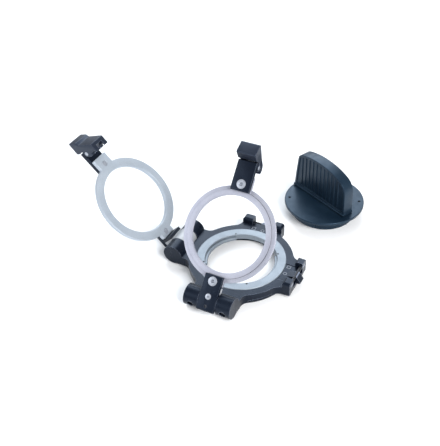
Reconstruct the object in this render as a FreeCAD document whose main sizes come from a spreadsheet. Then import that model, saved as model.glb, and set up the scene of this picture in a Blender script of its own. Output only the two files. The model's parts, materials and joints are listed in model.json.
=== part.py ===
import FreeCAD, Part
import os
import re
import Sketcher

# Two-ring clamp base with a bayonet plug. Millimetres, +Z up.
# Origin: on the bore axis at the underside of the base. +X points to the right
# latch receiver, +Y to the back one; the hinges are on -X (left) and -Y (front).

Vector = FreeCAD.Vector
Rotation = FreeCAD.Rotation
Placement = FreeCAD.Placement

SIZES = [
    # base
    ("base_top", 11.5, "height of the black base frame"),
    ("base_r", 50.5, "radius of the upper part of the base body"),
    ("base_foot_r", 49.0, "radius of the foot of the base body"),
    ("groove_low", 2.9, "lower edge of the groove around the base's side"),
    ("groove_high", 4.5, "upper edge of that groove"),
    ("groove_r", 46.3, "radius of the bottom of that groove"),
    ("seat_r", 43.5, "radius of the seat for the bayonet ring"),
    ("seat_z", 5.0, "height of the seat's floor"),
    ("spigot_r", 40.0, "bore of the base below the seat"),
    ("bayonet_top", 12.0, "height of the bayonet ring's top face"),
    ("bayonet_r", 43.35, "outer radius of the bayonet ring's flange"),
    ("bayonet_foot_r", 38.0, "inner radius of the bayonet ring's foot"),
    ("mouth_r", 34.6, "radius of the bayonet mouth"),
    ("lip_r", 32.4, "radius of the ledge that holds the plug's lugs"),
    ("ledge_top", 9.5, "top of the ledge"),
    ("ledge_foot", 6.6, "underside of the ledge"),
    ("entry_r", 34.4, "radius of the entries for the plug's lugs"),
    ("slot_start", 34.0, "angle where the lug entry starts"),
    ("slot_sweep", 90.0, "angle that each lug entry covers"),
    ("index_r", 0.9, "radius of the four index pins"),
    ("insert_screw_r", 41.9, "circle of the screws under the bayonet ring"),
    ("insert_head_r", 1.7, "head radius of those screws"),
    ("insert_shank_r", 1.0, "shank radius of those screws"),
    # hinge lugs
    ("hinge_out", 62.5, "distance from the bore axis to each hinge axis"),
    ("hinge_z", 10.7, "height of the hinge axes"),
    ("knuckle_r", 10.0, "radius of the base's knuckles"),
    ("lug_half", 23.4, "half the length of a hinge"),
    ("gap_half", 8.9, "half the gap between the base's knuckles"),
    ("hinge_pin_r", 3.0, "radius of the hinge pins"),
    ("hinge_pin_half", 20.0, "half the length of a hinge pin"),
    ("pin_clear", 0.05, "radial running clearance of pins"),
    ("set_screw_dip", 11.0, "angle of the knuckles' set screws below the horizontal"),
    # latch receivers
    ("lobe_out", 58.8, "distance from the bore axis to a receiver's end"),
    ("lobe_half", 20.0, "half the width of a receiver"),
    ("lobe_wide", 22.4, "the same on the left of the back receiver"),
    ("lobe_foot", 3.0, "height of a receiver's underside"),
    ("land_z", 10.9, "height of the land between a receiver's ears"),
    ("land_half", 11.4, "half the width of the land"),
    ("ear_in", 11.4, "distance from a receiver's middle to its ear"),
    ("ear_start", 51.0, "distance from the bore axis to the ears"),
    ("ear_top", 17.0, "height of the ears"),
    ("pocket_start", 54.6, "distance from the bore axis to the catch pockets"),
    ("pier_half", 3.9, "half the width of the pier between the pockets"),
    ("ramp_out", 63.0, "distance from the bore axis to the tip of the right pier's ramp"),
    ("dowel_out", 57.0, "distance from the bore axis to the catch dowel"),
    ("back_dowel_z", 9.0, "height of the back catch dowel"),
    ("right_dowel_z", 12.6, "height of the right catch dowel"),
    ("back_pocket_z", -5.0, "floor of the back pockets, which are open below"),
    ("right_pocket_z", 6.5, "floor of the right pockets"),
    ("dowel_r", 1.5, "radius of the catch dowel"),
    # clamp rings, in the arm's own frame: x from the hinge axis, z above it
    ("ring_r", 44.0, "outer radius of a clamp ring"),
    ("land_r", 40.3, "outer radius of the ring's raised front land"),
    ("ring_bore", 35.1, "bore of a clamp ring at its front"),
    ("ring_bore_back", 35.9, "bore of a clamp ring at its back"),
    ("ring_thick", 4.0, "thickness of a clamp ring"),
    ("land_step", 1.2, "height of the land's step"),
    ("rim_drop", 1.3, "drop from the land to the rim"),
    ("tab_half", 9.0, "half the width of the latch tab"),
    ("tab_out", 117.0, "hinge axis to the end of the latch tab"),
    ("heel_half", 8.5, "half the width of the hinge tab"),
    ("heel_in", 14.0, "hinge axis to the end of the hinge tab"),
    ("front_back_z", 1.6, "hinge axis to the back face of the front ring"),
    ("left_back_z", 10.1, "hinge axis to the back face of the left ring"),
    ("plate_thick", 4.2, "thickness of the black plates"),
    ("arm_half", 8.7, "half the width of an arm plate and hinge block"),
    ("arm_end", 24.0, "hinge axis to the ring end of an arm plate"),
    ("front_arm_start", -9.5, "hinge axis to the outer end of the front arm plate"),
    ("left_arm_start", 6.0, "hinge axis to the outer end of the left arm plate"),
    ("block_r", 9.5, "radius of the hinge block's knuckle"),
    ("block_end", 13.6, "hinge axis to the ring end of a hinge block"),
    ("big_screw_in", 18.2, "hinge axis to the arm plate's large screw"),
    ("big_screw_out", 108.2, "hinge axis to the latch plate's large screw"),
    ("big_head_r", 4.4, "head radius of a large screw"),
    ("big_shank_r", 2.5, "shank radius of a large screw"),
    ("small_head_r", 2.9, "head radius of a small screw"),
    ("small_shank_r", 1.5, "shank radius of a small screw"),
    ("small_screw_len", 5.5, "length of a small screw"),
    ("set_screw_x", -4.9, "hinge axis to the front arm plate's set screw"),
    # latches
    ("latch_half", 9.2, "half the width of a latch plate"),
    ("latch_start", 101.8, "hinge axis to the inner end of a latch plate"),
    ("latch_end", 129.7, "hinge axis to the outer end of a latch plate"),
    ("pivot_out", 126.5, "hinge axis to the latch pin"),
    ("pivot_drop", 3.6, "latch pin below the ring's front face"),
    ("latch_pin_r", 2.0, "radius of a latch pin"),
    ("tongue_half", 5.0, "half the width of the latch plate's tongue"),
    ("tongue_back", 3.7, "tongue behind the latch pin"),
    ("tongue_front", 2.7, "tongue in front of the latch pin"),
    ("tongue_drop", 3.1, "tongue below the latch pin"),
    ("lever_half", 9.4, "half the width of a latch lever"),
    ("slot_half", 5.25, "half the width of the lever's slot"),
    ("slot_r", 5.3, "radius of the lever's slot around the pin"),
    ("front_hook", 8.7, "latch pin to the tip of the front lever's hook"),
    ("left_hook", 13.7, "latch pin to the tip of the left lever's hook"),
    ("front_open", 48.0, "angle of the front ring above the base"),
    ("left_open", 135.0, "angle of the left ring above the base"),
    # plug
    ("plug_x", 40.4, "plug's axis from the bore axis along X"),
    ("plug_y", 115.8, "plug's axis from the bore axis along Y"),
    ("plug_turn", -25.6, "direction of the grip"),
    ("plug_r", 41.0, "radius of the plug's disc"),
    ("plug_thick", 3.5, "thickness of the plug's disc"),
    ("skirt_r", 32.0, "radius of the plug's skirt"),
    ("skirt_wall", 4.0, "wall of the plug's skirt"),
    ("skirt_depth", 12.0, "depth of the plug's skirt below the disc"),
    ("skirt_floor", 3.0, "thickness of the skirt's top web"),
    ("lug_r", 34.2, "radius over the plug's bayonet lugs"),
    ("lug_foot", 3.3, "height of the lugs' underside"),
    ("lug_top", 6.9, "height of the lugs' top"),
    ("lug_sweep", 60.0, "angle that each lug covers"),
    ("seal_r", 0.9, "cross-section radius of the plug's seal"),
    ("grip_half", 5.9, "half the thickness of the grip"),
    ("grip_left", -40.2, "left end of the grip from the plug's axis"),
    ("grip_right", 34.0, "right end of the grip from the plug's axis"),
    ("grip_high", 45.5, "height of the grip above the disc"),
    ("rib_r", 1.3, "radius of the grip's flutes"),
    ("rib_pitch", 5.2, "spacing of the grip's flutes"),
]

doc = FreeCAD.newDocument("ring_clamp_base")
sheet = doc.addObject("Spreadsheet::Sheet", "sizes")
for row, (alias, value, note) in enumerate(SIZES, 1):
    sheet.set(f"A{row}", note)
    sheet.set(f"B{row}", str(value))
    sheet.setAlias(f"B{row}", alias)
doc.recompute()

NODES = []


def linked(text):
    """The expression with each size name looked up in the sheet."""
    return re.sub(r"[a-z]+_[a-z_]+", lambda m: "sizes." + m.group(0), str(text))


def number(text):
    """The present value of an expression."""
    found = sheet.evalExpression(linked(text))
    return float(getattr(found, "Value", found))


def bind(thing, **properties):
    for name, text in properties.items():
        thing.setExpression(name, linked(text))
    return thing


def place(thing, x=0, y=0, z=0):
    for axis, text in zip("xyz", (x, y, z)):
        thing.setExpression(f"Placement.Base.{axis}", linked(text))
    return thing


ALONG = {"x": Rotation(Vector(0, 1, 0), 90), "y": Rotation(Vector(1, 0, 0), -90), "z": Rotation()}


def rod(radius, length, x=0, y=0, z=0, along="z"):
    """A cylinder that starts at x, y, z and runs the way of an axis."""
    made = doc.addObject("Part::Cylinder", "rod")
    made.Placement.Rotation = ALONG[along]
    return place(bind(made, Radius=radius, Height=length), x, y, z)


def cone(low, high, length, x=0, y=0, z=0):
    made = doc.addObject("Part::Cone", "cone")
    return place(bind(made, Radius1=low, Radius2=high, Height=length), x, y, z)


def block(x, y, z):
    """A box between two limits along each axis."""
    made = doc.addObject("Part::Box", "block")
    bind(made, Length=f"({x[1]}) - ({x[0]})", Width=f"({y[1]}) - ({y[0]})")
    bind(made, Height=f"({z[1]}) - ({z[0]})")
    return place(made, x[0], y[0], z[0])


def outline(points):
    """A closed sketch in the XZ plane with every corner tied to the sheet."""
    made = doc.addObject("Sketcher::SketchObject", "outline")
    made.Placement = Placement(Vector(), Rotation(Vector(1, 0, 0), 90))
    at = [Vector(number(x), number(z), 0) for x, z in points]
    count = len(at)
    made.addGeometry([Part.LineSegment(at[i], at[(i + 1) % count]) for i in range(count)])
    for i in range(count):
        made.addConstraint(Sketcher.Constraint("Coincident", i, 2, (i + 1) % count, 1))
    for i, (x, z) in enumerate(points):
        for kind, text, value in (("DistanceX", x, at[i].x), ("DistanceY", z, at[i].y)):
            index = made.addConstraint(Sketcher.Constraint(kind, -1, 1, i, 1, value))
            made.setExpression(f"Constraints[{index}]", linked(text))
    return made


def slab(points, half):
    """The outline given width on both sides of the XZ plane."""
    made = doc.addObject("Part::Extrusion", "slab")
    made.Base = outline(points)
    made.DirMode = "Custom"
    made.Dir = Vector(0, 1, 0)
    made.Solid = True
    made.Symmetric = True
    return bind(made, LengthFwd=f"2 * ({half})")


def turned(points, sweep=360, start=0):
    """The outline turned about the Z axis."""
    made = doc.addObject("Part::Revolution", "turned")
    made.Source = outline(points)
    made.Axis = Vector(0, 0, 1)
    made.Base = Vector(0, 0, 0)
    made.Solid = True
    bind(made, Angle=sweep)
    made.Placement = Placement(Vector(), Rotation(Vector(0, 0, 1), number(start)))
    return made


def joined(*things):
    made = doc.addObject("Part::MultiFuse", "joined")
    made.Shapes = list(things)
    made.Refine = True
    return made


def cut(thing, *tools):
    made = doc.addObject("Part::Cut", "cut")
    made.Base = thing
    made.Tool = tools[0] if len(tools) == 1 else joined(*tools)
    made.Refine = True
    return made


def rounded(thing, radius, choose):
    """Fillets on the edges that choose() picks from their midpoints."""
    doc.recompute()
    made = doc.addObject("Part::Fillet", "rounded")
    made.Base = thing
    r = number(radius)
    picked = []
    for index, edge in enumerate(thing.Shape.Edges, 1):
        if choose(edge):
            picked.append((index, r, r))
    made.Edges = picked
    return made


def around_z(thing, angle):
    """The same shape turned about the Z axis, as a copy that follows the first."""
    made = doc.addObject("Part::Compound", "turn")
    made.Links = [thing]
    made.Placement = Placement(Vector(), Rotation(Vector(0, 0, 1), angle))
    return made


def node(name, thing, where=None):
    """Names a finished sub-part and puts it in its place at rest."""
    made = doc.addObject("Part::Compound", name)
    made.Links = thing if isinstance(thing, list) else [thing]
    made.Label = name
    if where:
        made.Placement = where
    NODES.append(made)
    return made


def vertical(edge):
    return len(edge.Vertexes) == 2 and abs(edge.tangentAt(edge.FirstParameter).z) > 0.999


# ---- base ----------------------------------------------------------------


def gussets(halves, radius, low):
    """The two hollow corners between an arm of the base at +Y and its round body."""
    reach = f"base_r / (base_r + {radius})"
    made = []
    for side, half in zip((-1, 1), halves):
        centre_x = f"(({half}) + {radius})"
        centre_y = f"sqrt((base_r + {radius})^2 - {centre_x}^2)"
        inner = f"{side} * (({half}) - 1)"
        outer = f"{side} * {centre_x} * {reach}"
        span = (inner, outer) if side > 0 else (outer, inner)
        corner = block(span, (f"{centre_y} * {reach} - 2", centre_y), (low, "base_top"))
        made.append(cut(corner, rod(radius, 40, f"{side} * {centre_x}", centre_y, -5)))
    return made


def hinge_lug():
    """Two knuckles on a web at -Y, without the holes."""
    web = block(("-lug_half", "lug_half"), ("-hinge_out", "-seat_r - 1"), (1.5, "base_top"))
    barrel = rod("knuckle_r", "2 * lug_half", "-lug_half", "-hinge_out", "hinge_z", "x")
    corners = [around_z(corner, 180) for corner in gussets(["lug_half"] * 2, 8, 1.5)]
    return joined(web, barrel, *corners)


def set_screw_way():
    """The way that a knuckle's set screw points: outwards and a little down."""
    return Vector(0, -number("cos(set_screw_dip * 1deg)"), -number("sin(set_screw_dip * 1deg)"))


def hinge_lug_cuts():
    """The gap for the ring's hinge block, the pin bore and the set-screw pockets."""
    gap = block(
        ("-gap_half", "gap_half"), ("-hinge_out - 15", "-hinge_out + block_r + 0.6"), (-1, 30)
    )
    bore = rod(
        "hinge_pin_r + 0.02", "2 * hinge_pin_half + 0.04", "-hinge_pin_half - 0.02",
        "-hinge_out", "hinge_z", "x",
    )
    cuts = [gap, bore]
    for side in (-1, 1):
        for radius, start in ((3.3, 7.6), (1.5, 3.0)):
            hole = doc.addObject("Part::Cylinder", "pocket")
            bind(hole, Radius=radius, Height=12)
            aim = set_screw_way()
            hole.Placement.Rotation = Rotation(Vector(0, 0, 1), aim)
            place(
                hole, f"{side} * (gap_half + lug_half) / 2",
                f"-hinge_out + {start * aim.y}", f"hinge_z + {start * aim.z}",
            )
            cuts.append(hole)
    return joined(*cuts)


def receiver(left_half):
    """A latch receiver at +Y with its two ears."""
    lobe = block(
        (f"-{left_half}", "lobe_half"), ("seat_r + 1", "lobe_out"), ("lobe_foot", "base_top")
    )
    ears = []
    for span in ((f"-{left_half}", "-ear_in"), ("ear_in", "lobe_half")):
        ear = block(span, ("ear_start", "lobe_out"), ("lobe_foot + 1", "ear_top"))
        ears.append(rounded(ear, 2.6, ear_edge))
    return joined(lobe, *ears, *gussets([left_half, "lobe_half"], 10, "lobe_foot"))


def ear_edge(edge):
    """An ear's upper outer edges, along Y on its far side and along X at its back."""
    at = edge.CenterOfMass
    high = at.z > number("ear_top") - 0.1
    return high and (abs(at.x) > number("lobe_half") - 0.1 or at.y < number("ear_start") + 0.1)


def receiver_cuts(side):
    """The land's recess, the two pockets for a lever's toes and the bore for the catch dowel."""
    land = block(("-land_half", "land_half"), (30, "lobe_out + 5"), ("land_z", 30))
    pockets = [
        block((low, high), ("pocket_start", "lobe_out + 5"), (f"{side}_pocket_z", 30))
        for low, high in (("-ear_in", "-pier_half"), ("pier_half", "ear_in"))
    ]
    bore = rod(
        "dowel_r + 0.01", "2 * ear_in + 12.04", "-ear_in - 6.02", "dowel_out", f"{side}_dowel_z", "x"
    )
    return joined(land, *pockets, bore)


def right_ramp():
    """The right receiver's pier rises and slopes down past the receiver's end."""
    points = [
        ("seat_r + 5", "land_z - 1"), ("seat_r + 5", "land_z"), ("ramp_out - 4.6", "land_z + 2.9"),
        ("ramp_out", "land_z - 3.9"), ("ramp_out - 1.2", "land_z - 5.3"),
        ("lobe_out - 1", "land_z - 5.3"), ("lobe_out - 1", "land_z - 1"),
    ]
    bore = rod("dowel_r + 0.01", 40, "dowel_out", -20, "right_dowel_z", "y")
    return cut(slab(points, "pier_half"), bore)


def at_quarters(radius, length, out, z, start, count=4):
    """Rods on a circle about the bore axis."""
    rods = []
    for i in range(count):
        turn = f"({start} + {360 / count * i}) * 1deg"
        rods.append(rod(radius, length, f"({out}) * cos({turn})", f"({out}) * sin({turn})", z))
    return rods


def base_frame():
    upper = rod("base_r", "base_top - groove_high", 0, 0, "groove_high")
    neck = rod("groove_r", "groove_high", 0, 0, 0)
    foot = rod("base_foot_r", "groove_low", 0, 0, 0)
    lug = hinge_lug()
    back = receiver("lobe_wide")
    right = around_z(receiver("lobe_half"), -90)
    solid = joined(upper, neck, foot, lug, around_z(lug, -90), back, right)
    lug_cuts = hinge_lug_cuts()
    seat = rod("seat_r", 20, 0, 0, "seat_z")
    bore = rod("spigot_r", 20, 0, 0, -5)
    screws = at_quarters("insert_shank_r + 0.02", 10, "insert_screw_r", -1, 45)
    heads = at_quarters("insert_head_r + 0.1", 2.2, "insert_screw_r", -0.5, 45)
    tools = [lug_cuts, around_z(lug_cuts, -90)]
    tools += [receiver_cuts("back"), around_z(receiver_cuts("right"), -90)]
    node("base_frame", joined(cut(solid, *tools, seat, bore, *screws, *heads), right_ramp()))


def bayonet_ring():
    section = [
        ("lip_r", "ledge_foot"), ("bayonet_foot_r", "ledge_foot"),
        ("bayonet_foot_r", "seat_z + 0.4"), ("spigot_r + 0.4", "seat_z + 0.4"),
        ("spigot_r + 0.4", "seat_z + 0.02"), ("bayonet_r", "seat_z + 0.02"),
        ("bayonet_r", "bayonet_top - 0.4"), ("bayonet_r - 0.4", "bayonet_top"),
        ("mouth_r + 0.4", "bayonet_top"), ("mouth_r", "bayonet_top - 0.4"),
        ("mouth_r", "ledge_top"), ("lip_r + 0.3", "ledge_top"), ("lip_r", "ledge_top - 0.3"),
    ]
    entry = [
        ("lip_r - 2", "ledge_foot - 2"), ("entry_r", "ledge_foot - 2"),
        ("entry_r", 20), ("lip_r - 2", 20),
    ]
    entries = [turned(entry, "slot_sweep", f"slot_start + {half}") for half in (0, 180)]
    screws = at_quarters("insert_shank_r + 0.02", 8, "insert_screw_r", 0, 45)
    pins = at_quarters("index_r + 0.01", 10, "mouth_r + 1.4", "bayonet_top - 3", "slot_start")
    node("bayonet_ring", cut(turned(section), *entries, *screws, *pins))


def base_fittings():
    screws = []
    for i in range(4):
        turn = f"({45 + 90 * i}) * 1deg"
        x = f"insert_screw_r * cos({turn})"
        y = f"insert_screw_r * sin({turn})"
        head = rod("insert_head_r", 1.5, x, y, 0.15)
        screws.append(joined(head, rod("insert_shank_r", 6, x, y, 1.6)))
    node("insert_screws", screws)
    pins = at_quarters("index_r", 2.8, "mouth_r + 1.4", "bayonet_top - 2.98", "slot_start")
    node("index_pins", pins)
    pin = rod("hinge_pin_r", "2 * hinge_pin_half", "-hinge_pin_half", "-hinge_out", "hinge_z", "x")
    node("front_hinge_pin", pin)
    node("left_hinge_pin", around_z(pin, -90))
    screws = []
    aim = set_screw_way()
    for side in (-1, 1):
        grub = doc.addObject("Part::Cylinder", "grub")
        bind(grub, Radius="small_shank_r - 0.01", Height=4.6)
        grub.Placement.Rotation = Rotation(Vector(0, 0, 1), aim)
        place(
            grub, f"{side} * (gap_half + lug_half) / 2",
            f"-hinge_out + {3.4 * aim.y}", f"hinge_z + {3.4 * aim.z}",
        )
        screws.append(grub)
    node("knuckle_screws", screws + [around_z(grub, -90) for grub in screws])
    back, right = [
        rod("dowel_r", "2 * ear_in + 12", "-ear_in - 6", "dowel_out", height, "x")
        for height in ("back_dowel_z", "right_dowel_z")
    ]
    node("back_catch_dowel", back)
    node("right_catch_dowel", around_z(right, -90))


def lock_marks():
    """Thin inlays on each receiver: an open frame for unlocked, a ring for locked."""
    frame = cut(
        block((-10.0, -6.0), (44.4, 48.2), ("land_z", "land_z + 0.12")),
        block((-9.4, -6.6), (45.0, 47.6), ("land_z - 1", "land_z + 1")),
    )
    ring = cut(rod(1.9, 0.12, 1.5, 46.3, "land_z"), rod(1.3, 2, 1.5, 46.3, "land_z - 1"))
    pair = joined(frame, ring)
    node("lock_marks", [pair, around_z(pair, -90)])


# ---- clamp rings ------------------------------------------------------------


def arm_place(side):
    """Where an arm's own frame (x out from the hinge axis, z up) sits at rest."""
    out = number("hinge_out")
    z = number("hinge_z")
    tilt = Rotation(Vector(0, 1, 0), -number(f"{side}_open"))
    if side == "left":
        return Placement(Vector(-out, 0, z), tilt)
    return Placement(Vector(0, -out, z), Rotation(Vector(0, 0, 1), 90) * tilt)


def clamp_ring(side, where):
    back = f"{side}_back_z"
    front = f"({back} + ring_thick)"
    section = [
        ("ring_bore_back", back), ("ring_r - 0.4", back), ("ring_r", f"{back} + 0.4"),
        ("ring_r", f"{front} - rim_drop"), ("land_r", f"{front} - land_step"),
        ("land_r", front), ("ring_bore + 0.3", front), ("ring_bore", f"{front} - 0.3"),
        ("ring_bore", f"{back} + 1.6"),
    ]
    hoop = place(turned(section), "hinge_out")
    heel = block(("heel_in", "hinge_out - land_r + 2.5"), ("-heel_half", "heel_half"), (back, front))
    tab = block(("hinge_out + land_r - 2.5", "tab_out"), ("-tab_half", "tab_half"), (back, front))
    tabs = [rounded(heel, 1.5, vertical), rounded(tab, 1.0, vertical)]
    holes = [
        rod("big_shank_r + 0.01", 30, x, 0, -5) for x in ("big_screw_in", "big_screw_out")
    ]
    node(f"{side}_ring", cut(joined(hoop, *tabs), *holes), where)


def hinge_block(side, where):
    """The bare aluminium knuckle between the base's two."""
    front = f"({side}_back_z + ring_thick)"
    step = "front_back_z + 0.1"
    if side == "left":
        top = [("block_end", front), (1.2, front), (-6, 7.4), (-6, 0)]
    else:
        top = [("block_end", front), (-7.4, front), (-7.4, 0)]
    shape = slab([(8, 0), (8, step), ("block_end", step)] + top, "arm_half")
    barrel = rod("block_r", "2 * arm_half", 0, "-arm_half", 0, "y")
    solid = joined(shape, barrel)
    if side == "front":
        solid = cut(solid, block((-12, 12), (-12, 12), (front, 20)))
    holes = [rod("hinge_pin_r + 1.5", "2 * arm_half + 2", 0, "-arm_half - 1", 0, "y")]
    for x in small_screws(side):
        tip = f"{front} + plate_thick - small_screw_len"
        holes.append(rod("small_shank_r + 0.01", 12, x, 0, f"{tip} - 0.3"))
    node(f"{side}_hinge_block", cut(solid, *holes), where)
    bush = cut(
        rod("hinge_pin_r + 1.49", "2 * arm_half - 0.2", 0, "-arm_half + 0.1", 0, "y"),
        rod("hinge_pin_r + pin_clear", 40, 0, -20, 0, "y"),
    )
    node(f"{side}_hinge_bush", bush, where)


def small_screws(side):
    """Where the small screws of an arm plate are: a countersunk one, then a set screw."""
    return (4.0, "set_screw_x") if side == "front" else (9.9,)


def sunk_screw(x, top, head, shank, length):
    """A countersunk screw whose head is flush, with a hexagon socket."""
    cone_deep = f"({head} - {shank})"
    length = f"({length})"
    body = rod(shank, f"{length} - {cone_deep}", x, 0, f"{top} - {length}")
    sink = cone(shank, head, cone_deep, x, 0, f"{top} - {cone_deep}")
    socket = doc.addObject("Part::Prism", "socket")
    socket.Polygon = 6
    bind(socket, Circumradius=f"{shank} * 0.62", Height=3)
    place(socket, x, 0, f"{top} - {shank} * 0.7")
    return cut(joined(body, sink), socket)


def sunk_hole(x, top, head, shank):
    """The hole for a countersunk screw."""
    return joined(
        rod(f"{shank} + 0.01", 30, x, 0, f"{top} - 20"),
        cone(f"{shank} + 0.02", f"{head} + 0.02", f"{head} - {shank}", x, 0, f"{top} - {head} + {shank}"),
        rod(f"{head} + 0.02", 5, x, 0, top),
    )


def arm_plate(side, where):
    low = f"({side}_back_z + ring_thick)"
    top = f"({low} + plate_thick)"
    start = f"{side}_arm_start"
    plate = slab(
        [
            ("arm_end", low), ("arm_end", f"{top} - 0.6"), ("arm_end - 0.6", top),
            (f"{start} + 1.2", top), (start, f"{top} - 1.2"), (start, low),
        ],
        "arm_half",
    )
    holes = [sunk_hole("big_screw_in", top, "big_head_r", "big_shank_r")]
    holes.append(sunk_hole(small_screws(side)[0], top, "small_head_r", "small_shank_r"))
    if side == "front":
        holes.append(rod("small_shank_r + 0.01", 30, "set_screw_x", 0, f"{top} - 20"))
    node(f"{side}_arm_plate", cut(plate, *holes), where)
    node(
        f"{side}_arm_screw",
        sunk_screw("big_screw_in", top, "big_head_r", "big_shank_r", "plate_thick + ring_thick"),
        where,
    )
    x = small_screws(side)[0]
    screws = [sunk_screw(x, top, "small_head_r", "small_shank_r", "small_screw_len")]
    if side == "front":
        low_end = f"{top} - small_screw_len"
        screws.append(rod("small_shank_r", "small_screw_len - 0.9", "set_screw_x", 0, low_end))
    node(f"{side}_block_screws", screws, where)


def latch_plate(side, where):
    low = f"({side}_back_z + ring_thick)"
    top = f"({low} + plate_thick)"
    pin_z = f"({low} - pivot_drop)"
    plate = slab(
        [
            ("latch_start", low), ("latch_end", low), ("latch_end", f"{top} - 0.8"),
            ("latch_end - 0.8", top), ("latch_start + 0.6", top), ("latch_start", f"{top} - 0.6"),
        ],
        "latch_half",
    )
    tongue = block(
        ("pivot_out - tongue_back", "pivot_out + tongue_front"),
        ("-tongue_half", "tongue_half"), (f"{pin_z} - tongue_drop", f"{low} + 1"),
    )
    bore = rod("latch_pin_r + 0.01", 40, "pivot_out", -20, pin_z, "y")
    hole = sunk_hole("big_screw_out", top, "big_head_r", "big_shank_r")
    node(f"{side}_latch_plate", cut(joined(plate, tongue), bore, hole), where)
    node(
        f"{side}_latch_screw",
        sunk_screw("big_screw_out", top, "big_head_r", "big_shank_r", "plate_thick + ring_thick"),
        where,
    )
    pin = rod("latch_pin_r", "2 * lever_half", "pivot_out", "-lever_half", pin_z, "y")
    node(f"{side}_latch_pin", pin, where)


def latch_lever(side, where):
    """A forked lever: a head beyond the plate, cheeks on the pin and hooked toes."""
    pin_z = f"({side}_back_z + ring_thick - pivot_drop)"
    hook = f"{side}_hook"
    eye = [(-3.4, 1.0), (-1.5, 3.2), (1.5, 3.2)]
    if side == "left":
        toe = [
            (4.0, f"-{hook}"), (-5.0, f"-{hook}"), (-5.0, f"-{hook} + 1.0"), (-2.4, f"-{hook} + 1.6"),
            (-2.4, -6.4), (-5.0, -5.6), (-5.0, -2.6),
        ]
        head = [
            (3.9, 3.1), (3.9, 8.0), (5.4, 11.0), (17.4, 10.4), (18.4, 9.2), (14.6, 2.2), (11.5, 1.4),
        ]
    else:
        toe = [
            (4.2, -7.0), (2.0, -8.3), (-0.5, f"-{hook}"), (-2.8, f"-{hook} + 0.4"),
            (-4.6, f"-{hook} + 1.7"), (-5.0, -6.3), (-2.2, -6.1), (-2.2, -2.4), (-3.4, -0.8),
        ]
        head = [
            (4.0, 3.1), (4.0, 9.4), (7.4, 16.4), (9.0, 17.3), (18.2, 12.8), (19.0, 11.6), (9.3, 0.5),
        ]
    profile = toe + eye + head
    points = [(f"pivot_out + {x}", f"{pin_z} + {z}") for x, z in profile]
    bore = rod("latch_pin_r + pin_clear", 40, "pivot_out", -20, pin_z, "y")
    span = ("-slot_half", "slot_half")
    if side == "left":
        notch = [(-12, -5.0), (-3.2, -5.0), (0.6, -12.0), (0.6, -20.0), (-12, -20.0)]
        fork = joined(
            block(("pivot_out - 12", "pivot_out"), span, (f"{pin_z} - 5.2", f"{pin_z} + 3.4")),
            slab([(f"pivot_out + {x}", f"{pin_z} + {z}") for x, z in notch], "pier_half + 0.4"),
        )
    else:
        fork = block(("pivot_out - 12", "pivot_out + 3.9"), span, (-20, f"{pin_z} + 3.4"))
    round_slot = rod("slot_r", "2 * slot_half", "pivot_out", "-slot_half", pin_z, "y")
    lever = cut(slab(points, "lever_half"), bore, fork, round_slot)
    node(f"{side}_latch_lever", lever, where)


def clamp(side):
    where = arm_place(side)
    clamp_ring(side, where)
    hinge_block(side, where)
    arm_plate(side, where)
    latch_plate(side, where)
    latch_lever(side, where)


# ---- plug -------------------------------------------------------------------


def plug_place():
    turn = Rotation(Vector(0, 0, 1), number("plug_turn"))
    return Placement(Vector(number("plug_x"), number("plug_y"), 0), turn)


def plug():
    where = plug_place()
    low = "skirt_depth"
    top = "(skirt_depth + plug_thick)"
    face = [
        (0, low), ("plug_r - 0.8", low), ("plug_r", f"{low} + 0.8"), ("plug_r", f"{top} - 0.6"),
        ("plug_r - 0.6", top), (0, top),
    ]
    seat = turned([
        ("skirt_r - 1.2", f"{low} - 1"), ("skirt_r + seal_r", f"{low} - 1"),
        ("skirt_r + seal_r", f"{low} + 0.9"), ("skirt_r - 1.2", f"{low} + 0.9"),
    ])
    bolts = [(36.0, 44.6), (36.0, 224.6)]
    holes = [rod(1.4, 8, *on_circle(r, a), f"{top} - 2.4") for r, a in bolts]
    grip_bolts = [rod(2.02, 14, x, 0, 4) for x in (-18, 14)]
    node("plug_disc", cut(turned(face), seat, *holes, *grip_bolts), where)
    node("plug_pins", [rod(1.38, 1.6, *on_circle(r, a), f"{top} - 2.39") for r, a in bolts], where)
    plug_skirt(where, low, grip_bolts)
    plug_grip(where, top)


def on_circle(radius, angle):
    return (f"{radius} * cos({angle} * 1deg)", f"{radius} * sin({angle} * 1deg)")


def plug_skirt(where, low, bolts):
    skirt = turned([
        ("skirt_r - skirt_wall", 0.5), ("skirt_r - skirt_wall + 0.5", 0), ("skirt_r - 0.6", 0),
        ("skirt_r", 0.6), ("skirt_r", f"{low} - 1.6"), ("skirt_r - 1.6", f"{low} - 1.6"),
        ("skirt_r - 1.6", f"{low} - 0.02"), (0, f"{low} - 0.02"), (0, f"{low} - skirt_floor"),
        ("skirt_r - skirt_wall", f"{low} - skirt_floor"),
    ])
    node("plug_skirt", cut(skirt, *bolts), where)
    lug = [
        ("skirt_r + 0.02", "lug_foot"), ("lug_r", "lug_foot"),
        ("lug_r", "lug_top"), ("skirt_r + 0.02", "lug_top"),
    ]
    lugs = [turned(lug, "lug_sweep", f"-lug_sweep / 2 + {turn}") for turn in (90, 270)]
    node("plug_lugs", lugs, where)
    seal = doc.addObject("Part::Torus", "seal")
    bind(seal, Radius1="skirt_r - 0.3", Radius2="seal_r")
    place(seal, 0, 0, f"{low} - 0.5")
    node("plug_seal", seal, where)
    screws = []
    for x in (-18, 14):
        head = rod(3.4, 2.5, x, 0, f"{low} - skirt_floor - 2.52")
        screws.append(joined(head, rod(2.0, 14, x, 0, f"{low} - skirt_floor - 0.02")))
    node("plug_screws", screws, where)


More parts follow.
